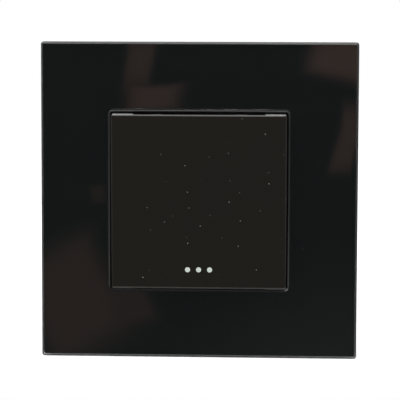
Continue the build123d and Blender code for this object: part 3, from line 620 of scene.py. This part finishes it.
def turned_head(radius, height, shank, slot_width, slot_depth, segments=48):
    """A pan head standing on the plane z = 0, with a slot along X."""
    round_edge = 0.3 * height
    rim = 0.05 * height
    neck = -0.3 * height
    profile = [(0.0, height)]
    for step in range(7):
        angle = radians(90 - 15 * step)
        over = round_edge * cos(angle), round_edge * sin(angle)
        profile.append((radius - round_edge + over[0], height - round_edge + over[1]))
    profile += [(radius, rim), (radius - rim, 0.0), (shank, 0.0), (shank, neck), (0.0, neck)]
    shape = bmesh.new()
    line = [shape.verts.new((x, 0.0, z)) for x, z in profile]
    edges = [shape.edges.new(pair) for pair in zip(line, line[1:])]
    turn = {"axis": (0, 0, 1), "cent": (0, 0, 0), "angle": 2 * pi, "steps": segments}
    bmesh.ops.spin(shape, geom=line + edges, use_merge=True, **turn)
    bmesh.ops.remove_doubles(shape, verts=shape.verts, dist=1e-7)
    bmesh.ops.recalc_face_normals(shape, faces=shape.faces)
    head = object_from(shape, "turned_head")
    shape = bmesh.new()
    size = Matrix.Diagonal((3 * radius, slot_width, 2 * slot_depth, 1.0))
    bmesh.ops.create_cube(shape, size=1.0, matrix=Matrix.Translation((0, 0, height)) @ size)
    cutter = object_from(shape, "slot_cutter")
    cut = head.modifiers.new("slot", "BOOLEAN")
    cut.object, cut.operation, cut.solver = cutter, "DIFFERENCE", "EXACT"
    head.data = in_order(baked(head))
    bpy.data.objects.remove(cutter)
    return head


# %% [markdown]
# Two trees follow, one for screws and one for a spring. Both open with their named inputs and
# both end by making their instances real and setting a material, so two helpers do that. The
# last helper runs a tree on an object and leaves a plain mesh behind.

# %% Helpers for Geometry Nodes
def start_maker(name, numbers, others):
    """A Geometry Nodes tree with named inputs, and the outputs of its group input."""
    tree = bpy.data.node_groups.new(name, "GeometryNodeTree")
    face = tree.interface
    face.new_socket("Geometry", in_out="INPUT", socket_type="NodeSocketGeometry")
    for label, value in numbers.items():
        socket = face.new_socket(label, in_out="INPUT", socket_type="NodeSocketFloat")
        socket.default_value = value
    for label, kind in others.items():
        face.new_socket(label, in_out="INPUT", socket_type=kind)
    face.new_socket("Geometry", in_out="OUTPUT", socket_type="NodeSocketGeometry")
    return tree, add(tree, "NodeGroupInput").outputs


def end_maker(tree, geometry, finish):
    """Real instances with a material, sent to the tree's output."""
    real = add(tree, "GeometryNodeRealizeInstances", {"Geometry": geometry}).outputs[0]
    painted = add(tree, "GeometryNodeSetMaterial", {"Geometry": real, "Material": finish})
    add(tree, "NodeGroupOutput", {0: painted.outputs[0]})


def run_maker(name, seats, tree, values):
    """A new object with the plain mesh that the tree makes from points at the seats."""
    mesh = bpy.data.meshes.new(name)
    mesh.from_pydata(seats, [], [])
    made = object_with(mesh, name)
    maker = made.modifiers.new("maker", "NODES")
    maker.node_group = tree
    inputs = [item for item in tree.interface.items_tree if item.in_out == "INPUT"]
    sockets = {item.name: item.identifier for item in inputs}
    for key, value in values.items():
        maker[sockets[key]] = value
    made.data = baked(made)
    made.data.materials.clear()
    made.data.materials.append(values["Finish"])
    return made


# %% [markdown]
# The thread is a square profile swept along a helix, so that one of its corners becomes the
# ridge. The helix stops one pitch short of the shank, and the ridge fades at both ends. A
# neck without thread stays bare under the head. The core is a hair thicker than the line
# of the helix, so the ridge is rooted in it.

# %% The tree that makes and places threaded screws
FADE_TO = 0.15
FADE_OVER = 0.06
ROOTED = 0.05


def screw_tree():
    """Geometry Nodes: a head and a threaded shank on every point of the input."""
    numbers = {"Radius": 0.00175, "Pitch": 0.0006, "Length": 0.01, "Neck": 0.0, "Turn": 0.0}
    others = {"Head": "NodeSocketObject", "Finish": "NodeSocketMaterial"}
    tree, given = start_maker("threaded_screws", numbers, others)
    depth = calc(tree, "MULTIPLY", given["Pitch"], 0.5)
    helix_radius = calc(tree, "SUBTRACT", given["Radius"], depth)
    below_neck = calc(tree, "SUBTRACT", given["Length"], given["Neck"])
    run = calc(tree, "SUBTRACT", below_neck, given["Pitch"])
    turns = calc(tree, "DIVIDE", run, given["Pitch"])
    radii = {"Start Radius": helix_radius, "End Radius": helix_radius}
    sizes = {"Resolution": 28, "Rotations": turns, "Height": run}
    helix = add(tree, "GeometryNodeCurveSpiral", {**sizes, **radii})
    upright = add(tree, "GeometryNodeSetCurveNormal", {"Curve": helix.outputs[0]}, mode="Z_UP")
    along = add(tree, "GeometryNodeSplineParameter").outputs["Factor"]
    fade_in = spread(tree, along, FADE_TO, 1.0, 0.0, FADE_OVER)
    fade_out = spread(tree, along, 1.0, FADE_TO, 1.0 - FADE_OVER, 1.0)
    fade = calc(tree, "MINIMUM", fade_in, fade_out)
    ridge = add(tree, "GeometryNodeCurvePrimitiveCircle", {"Resolution": 4, "Radius": depth})
    sweep = {"Curve": upright.outputs[0], "Profile Curve": ridge.outputs[0], "Scale": fade}
    thread = add(tree, "GeometryNodeCurveToMesh", {**sweep, "Fill Caps": True}).outputs[0]
    down = calc(tree, "MULTIPLY", given["Length"], -1.0)
    start = add(tree, "ShaderNodeCombineXYZ", {"Z": calc(tree, "ADD", down, depth)}).outputs[0]
    thread = add(tree, "GeometryNodeTransform", {"Geometry": thread, "Translation": start})
    core_radius = calc(tree, "ADD", helix_radius, calc(tree, "MULTIPLY", depth, ROOTED))
    radii = {"Radius Top": core_radius, "Radius Bottom": core_radius}
    sizes = {"Vertices": 40, "Depth": given["Length"]}
    core = add(tree, "GeometryNodeMeshCone", {**sizes, **radii}).outputs["Mesh"]
    drop = add(tree, "ShaderNodeCombineXYZ", {"Z": down}).outputs[0]
    core = add(tree, "GeometryNodeTransform", {"Geometry": core, "Translation": drop})
    head = add(tree, "GeometryNodeObjectInfo", {"Object": given["Head"]})
    joined = add(tree, "GeometryNodeJoinGeometry")
    for piece in (thread.outputs[0], core.outputs[0], head.outputs["Geometry"]):
        tree.links.new(piece, joined.inputs[0])
    points = add(tree, "GeometryNodeMeshToPoints", {"Mesh": given["Geometry"]})
    turn = add(tree, "ShaderNodeCombineXYZ", {"X": given["Turn"]}).outputs[0]
    inputs = {"Points": points.outputs[0], "Instance": joined.outputs[0], "Rotation": turn}
    placed = add(tree, "GeometryNodeInstanceOnPoints", inputs)
    end_maker(tree, placed.outputs[0], given["Finish"])
    return tree


thread_maker = screw_tree()
print("screw tree has", len(thread_maker.nodes), "nodes")


# %% [markdown]
# Each block below gives one size of screw: its seats, where its heads look and its measures.
# Machine screws of 3.5 mm hold the switch to its wall box and clamp the wires. The two that
# hold the module together are thinner, with a coarser thread.

# %% Place the screws on their seats
SLOT_W = 1.0 * MM
SLOT_DEPTH = 0.9 * MM


def screws(name, body, replaced, seats, towards, thread, head, neck=0.0):
    """Screws of one size on one body, in place of a CAD solid. Sizes are in millimetres.

    The thread has a radius, a length and a pitch, and the head a radius and a height.
    Heads look towards +Y or -Y.
    """
    radius, length, pitch = thread
    head_radius, head_height = head
    turned = turned_head(head_radius * MM, head_height * MM, radius * MM, SLOT_W, SLOT_DEPTH)
    values = {
        "Radius": radius * MM,
        "Length": length * MM,
        "Pitch": pitch * MM,
        "Neck": neck * MM,
        "Turn": -towards * pi / 2,
        "Head": turned,
        "Finish": zinc_screw,
    }
    made = run_maker(name, [Vector(seat) * MM for seat in seats], thread_maker, values)
    bpy.data.objects.remove(turned)
    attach(made, body)
    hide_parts(replaced)
    print(f"{name}: {len(seats)} of {length} mm, {len(made.data.polygons)} faces")


seats = [(-30.15, -1.2, 0), (30.15, -1.2, 0)]
sizes = {"thread": (1.75, 25.0, 0.6), "head": (3.4, 2.0), "neck": 1.15}
screws("wall_screws_threaded", "wall_module", "fixing_screws", seats, -1, **sizes)

seats = [(0, -3.0, -14.4), (0, -3.0, 14.4)]
sizes = {"thread": (1.25, 11.5, 0.8), "head": (2.3, 1.4)}
screws("cover_screws_threaded", "wall_module", "cover_screws", seats, -1, **sizes)

seats = [(-10.0, 4.6, -31.8)]
sizes = {"thread": (1.75, 5.8, 0.6), "head": (3.2, 2.0)}
screws("earth_screw_threaded", "earth_screw", "earth_screw", seats, 1, **sizes)

sizes = {"thread": (1.75, 6.9, 0.6), "head": (3.0, 1.8)}
for wire, x, z in (("com", -12.0, 12.25), ("l1", 12.0, 12.25), ("l2", 12.0, -12.25)):
    body = f"{wire}_screw"
    screws(f"{body}_threaded", body, body, [(x, 16.885, z)], 1, **sizes)

# %% [markdown]
# ## A spring that gets shorter
#
# A compression spring has closed turns at both ends, so that it stands straight, and open
# turns between them. The tree winds an even spiral first and then moves each point to its own
# height.

# %% The tree that winds a coil
def coil_tree():
    """Geometry Nodes: a compression spring with one closed turn at each end, on every point."""
    numbers = {"Radius": 0.0015, "Wire": 0.0004, "Height": 0.006, "Turns": 6.0, "Lean": 0.0}
    tree, given = start_maker("wound_coil", numbers, {"Finish": "NodeSocketMaterial"})
    rise = calc(tree, "SUBTRACT", given["Height"], given["Wire"])
    open_rise = calc(tree, "SUBTRACT", rise, calc(tree, "MULTIPLY", given["Wire"], 2.0))
    one_turn = calc(tree, "DIVIDE", 1.0, given["Turns"])
    last_turn = calc(tree, "SUBTRACT", 1.0, one_turn)
    sizes = {"Resolution": 32, "Rotations": given["Turns"], "Height": rise}
    spiral = {**sizes, "Start Radius": given["Radius"], "End Radius": given["Radius"]}
    spiral = add(tree, "GeometryNodeCurveSpiral", spiral)
    along = add(tree, "GeometryNodeSplineParameter").outputs["Factor"]
    foot = spread(tree, along, 0.0, 1.0, 0.0, one_turn)
    middle = spread(tree, along, 0.0, 1.0, one_turn, last_turn)
    top = spread(tree, along, 0.0, 1.0, last_turn, 1.0)
    closed = calc(tree, "MULTIPLY", calc(tree, "ADD", foot, top), given["Wire"])
    height = calc(tree, "ADD", closed, calc(tree, "MULTIPLY", middle, open_rise))
    spot = parts_of(tree, add(tree, "GeometryNodeInputPosition").outputs[0])
    spot = {"X": spot["X"], "Y": spot["Y"], "Z": height}
    spot = add(tree, "ShaderNodeCombineXYZ", spot).outputs[0]
    wound = {"Geometry": spiral.outputs[0], "Position": spot}
    wound = add(tree, "GeometryNodeSetPosition", wound)
    section = {"Resolution": 12, "Radius": calc(tree, "MULTIPLY", given["Wire"], 0.5)}
    section = add(tree, "GeometryNodeCurvePrimitiveCircle", section)
    sweep = {"Curve": wound.outputs[0], "Profile Curve": section.outputs[0], "Fill Caps": True}
    wire = add(tree, "GeometryNodeCurveToMesh", sweep)
    points = add(tree, "GeometryNodeMeshToPoints", {"Mesh": given["Geometry"]})
    lean = add(tree, "ShaderNodeCombineXYZ", {"X": given["Lean"]}).outputs[0]
    inputs = {"Points": points.outputs[0], "Instance": wire.outputs[0], "Rotation": lean}
    placed = add(tree, "GeometryNodeInstanceOnPoints", inputs)
    end_maker(tree, placed.outputs[0], given["Finish"])
    return tree


# %% [markdown]
# The coil's length and place are read from the solid that it stands for. Its points are
# measured along the plunger's own axis, which leans with the rocker, and the coil starts at
# the lowest of them.

# %% Wind the plunger's spring
SPRING_WIRE = 0.4 * MM
spring_axis = Vector((0.0, cos(ROCKER_TILT), sin(ROCKER_TILT)))
rocker_pivot = Vector((0.0, ROCKER_PIVOT_Y, 0.0))
cad_spring = nodes["plunger_spring"]
cad_points = [cad_spring.matrix_world @ v.co - rocker_pivot for v in cad_spring.data.vertices]
reach = [spring_axis.dot(point) for point in cad_points]
spring_foot = rocker_pivot + spring_axis * min(reach)
coil_sizes = {
    "Radius": 1.45 * MM,
    "Wire": SPRING_WIRE,
    "Height": max(reach) - min(reach),
    "Turns": 6.0,
    "Lean": ROCKER_TILT - pi / 2,
    "Finish": spring_blue,
}
coil_seat = [spring_foot + spring_axis * SPRING_WIRE / 2]
plunger_coil = run_maker("plunger_coil", coil_seat, coil_tree(), coil_sizes)
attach(plunger_coil, "rocker")
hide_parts("plunger_spring")
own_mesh(plunger_coil)
print(f"coil {(max(reach) - min(reach)) / MM:.2f} mm long, {len(plunger_coil.data.polygons)} faces")

# %% [markdown]
# ## A plain white studio
#
# The photograph is lit from all sides, on white, with the camera's own side dark: a black
# glass plate seen square on shows mostly what stands behind the camera. The world is white
# for the eye and in reflections, and a little dimmer where it lights diffuse surfaces. To the
# left and right reflections find a greyer room, so upright edges stay quiet, and on the
# camera's side a dark one. The floor is a pale sheet whose near edge ends under the switch.

# %% World
AMBIENT = 0.72
SIDE_WALLS = 0.4
CAMERA_SIDE = 0.2
SIDE_FROM, SIDE_FULL = 0.6, 0.9
CAMERA_FULL, CAMERA_FROM = -0.65, -0.3
studio = bpy.data.worlds.new("white_studio")
studio.use_nodes = True
scene.world = studio
tree = studio.node_tree
rays = add(tree, "ShaderNodeLightPath").outputs
seen = calc(tree, "MAXIMUM", rays["Is Camera Ray"], rays["Is Transmission Ray"])
plain = spread(tree, seen, AMBIENT, 1.0, 0.0, 1.0)
towards = parts_of(tree, add(tree, "ShaderNodeTexCoord").outputs["Generated"])
sideways = calc(tree, "ABSOLUTE", towards["X"])
side_walls = spread(tree, sideways, 1.0, SIDE_WALLS, SIDE_FROM, SIDE_FULL)
camera_side = spread(tree, towards["Y"], CAMERA_SIDE, 1.0, CAMERA_FULL, CAMERA_FROM)
mirrored = calc(tree, "MULTIPLY", side_walls, camera_side)
sky = tree.nodes["Background"]
sky.inputs["Color"].default_value = (1.0, 1.0, 1.0, 1.0)
feed(tree, sky, "Strength", blend_values(tree, rays["Is Glossy Ray"], plain, mirrored))
print(f"world: 1.0 to the eye, {AMBIENT} on diffuse surfaces")

# %% Pale floor under the switch
def flat_sheet(name, corners, material):
    """A sheet of one face."""
    mesh = bpy.data.meshes.new(name)
    mesh.from_pydata(corners, [], [(0, 1, 2, 3)])
    mesh.materials.append(material)
    return object_with(mesh, name)


FLOOR_SIDE, FLOOR_NEAR, FLOOR_FAR = 1.4, -0.013, 2.4
floor_white, tree, shader = start_finish("floor_white", (0.82, 0.82, 0.82), 0.9)
shader.inputs["Specular IOR Level"].default_value = 0.0
rays = add(tree, "ShaderNodeLightPath").outputs
seen = calc(tree, "MAXIMUM", rays["Is Camera Ray"], rays["Is Transmission Ray"])
shader.inputs["Emission Color"].default_value = (1.0, 1.0, 1.0, 1.0)
feed(tree, shader, "Emission Strength", spread(tree, seen, 0.0, 0.4, 0.0, 1.0))
floor_z = cad_box[0][2]
near = [(-FLOOR_SIDE, FLOOR_NEAR, floor_z), (FLOOR_SIDE, FLOOR_NEAR, floor_z)]
far = [(FLOOR_SIDE, FLOOR_FAR, floor_z), (-FLOOR_SIDE, FLOOR_FAR, floor_z)]
pale_floor = flat_sheet("pale_floor", near + far, floor_white)
print(f"floor at z {floor_z / MM:.1f} mm")

# %% [markdown]
# A large dark card behind the camera, which only reflections can see, gives the glass its
# depth. Warm squares with soft and slightly bent edges are the brown patches in the glass of
# the photograph. The card itself fades out towards its own edge.

# %% Dark card behind the camera
CARD_Y = -0.9
CARD_SIDE, CARD_LOW, CARD_HIGH = 1.0, -0.9, 0.7
BEND = 0.05
WARM_TONE = (0.65, 0.455, 0.395)
card_dark = bpy.data.materials.new("card_dark")
card_dark.use_nodes = True
tree = card_dark.node_tree
tree.nodes.clear()
where = add(tree, "ShaderNodeTexCoord").outputs["Object"]
bend = add(tree, "ShaderNodeTexNoise", {"Vector": where, "Scale": 9.0, "Detail": 1.0})
bend = vector(tree, "SUBTRACT", bend.outputs["Color"], (0.5, 0.5, 0.5))
bend = vector(tree, "MULTIPLY", bend, (BEND, BEND, BEND))
bent = vector(tree, "ADD", where, bend)


def glow(tree, where, x, z, half_x, half_z, turn=0.0, core=0.35, square=False):
    """A soft-edged oval or square on the card: 1 in the middle and 0 outside."""
    moved = vector(tree, "SUBTRACT", where, (x, CARD_Y, z))
    inputs = {"Vector": moved, "Angle": turn}
    turned = add(tree, "ShaderNodeVectorRotate", inputs, rotation_type="Y_AXIS").outputs[0]
    sized = vector(tree, "MULTIPLY", turned, (1 / half_x, 0.0, 1 / half_z))
    if square:
        off = parts_of(tree, vector(tree, "ABSOLUTE", sized))
        reach = calc(tree, "MAXIMUM", off["X"], off["Z"])
    else:
        reach = vector(tree, "LENGTH", sized)
    inputs = {"Value": reach, "From Min": core, "From Max": 1.0, "To Min": 1.0, "To Max": 0.0}
    fall = add(tree, "ShaderNodeMapRange", inputs, interpolation_type="SMOOTHSTEP")
    return fall.outputs["Result"]


# Each row: x, z, half width, half height, turn, share of the warm tone
patches = [
    (-0.087, 0.035, 0.014, 0.038, 0.0, 0.68),
    (-0.072, -0.001, 0.030, 0.014, 0.0, 0.85),
    (0.064, 0.024, 0.034, 0.024, -0.25, 1.0),
    (0.070, -0.034, 0.011, 0.028, -0.2, 0.68),
    (-0.142, -0.158, 0.044, 0.052, 0.35, 0.52),
    (-0.098, -0.158, 0.022, 0.026, 0.5, 0.40),
    (-0.115, -0.076, 0.006, 0.012, 0.0, 0.30),
]
warmth = 0.0
for x, z, half_x, half_z, turn, share in patches:
    spot = glow(tree, bent, x, z, half_x, half_z, turn, core=0.4, square=True)
    warmth = calc(tree, "MAXIMUM", calc(tree, "MULTIPLY", spot, share), warmth)
low_right = glow(tree, where, 0.06, -0.26, 0.16, 0.16, core=0.2)
room = blend_colours(tree, low_right, (0.15, 0.168, 0.172), (0.245, 0.25, 0.25))
tone = blend_colours(tree, warmth, room, WARM_TONE)
light = add(tree, "ShaderNodeEmission", {"Color": tone, "Strength": 1.0}).outputs[0]
clear = add(tree, "ShaderNodeBsdfTransparent").outputs[0]
body = glow(tree, where, -0.03, -0.1, 0.95, 0.75)
cover = add(tree, "ShaderNodeMixShader", {"Fac": body, 1: clear, 2: light}).outputs[0]
add(tree, "ShaderNodeOutputMaterial", {"Surface": cover})

lower = [(-CARD_SIDE, CARD_Y, CARD_LOW), (CARD_SIDE, CARD_Y, CARD_LOW)]
upper = [(CARD_SIDE, CARD_Y, CARD_HIGH), (-CARD_SIDE, CARD_Y, CARD_HIGH)]
dark_card = flat_sheet("dark_card", lower + upper, card_dark)
dark_card.visible_camera = False
dark_card.visible_diffuse = False
dark_card.visible_transmission = False
dark_card.visible_shadow = False
print(len(patches), "warm patches on the card")

# %% [markdown]
# Two large area lights give the shapes some direction: a key from the upper left and a wider
# one from above. Both are weak, because the white world already fills every shadow.

# %% Softboxes
def softbox(name, place, size, power):
    """A square area light that looks at the switch."""
    data = bpy.data.lights.new(name, "AREA")
    data.size, data.energy = size, power
    lamp = bpy.data.objects.new(name, data)
    lamp.location = place
    lamp.rotation_euler = Vector(place).to_track_quat("Z", "Y").to_euler()
    scene.collection.objects.link(lamp)


softbox("key_softbox", (-0.6, -0.8, 0.85), size=0.5, power=7.5)
softbox("top_softbox", (0.05, -0.1, 1.1), size=0.7, power=6.0)

# %% [markdown]
# ## The camera of the photograph
#
# Its place and lens were worked out from the corners of the plate, the ring and the three
# dots: half a metre away, a little to the right and above, through a long lens.

# %% Camera
lens_data = bpy.data.cameras.new("photo_camera")
lens_data.lens = 170.02
lens_data.sensor_width = 36.0
lens_data.clip_start, lens_data.clip_end = 0.01, 20.0
photo_camera = bpy.data.objects.new("photo_camera", lens_data)
photo_camera.location = (0.02525, -0.52034, 0.0464)
photo_camera.rotation_euler = (radians(84.834), radians(-0.182), radians(2.8185))
scene.collection.objects.link(photo_camera)
scene.camera = photo_camera
scene.view_settings.view_transform = "Standard"
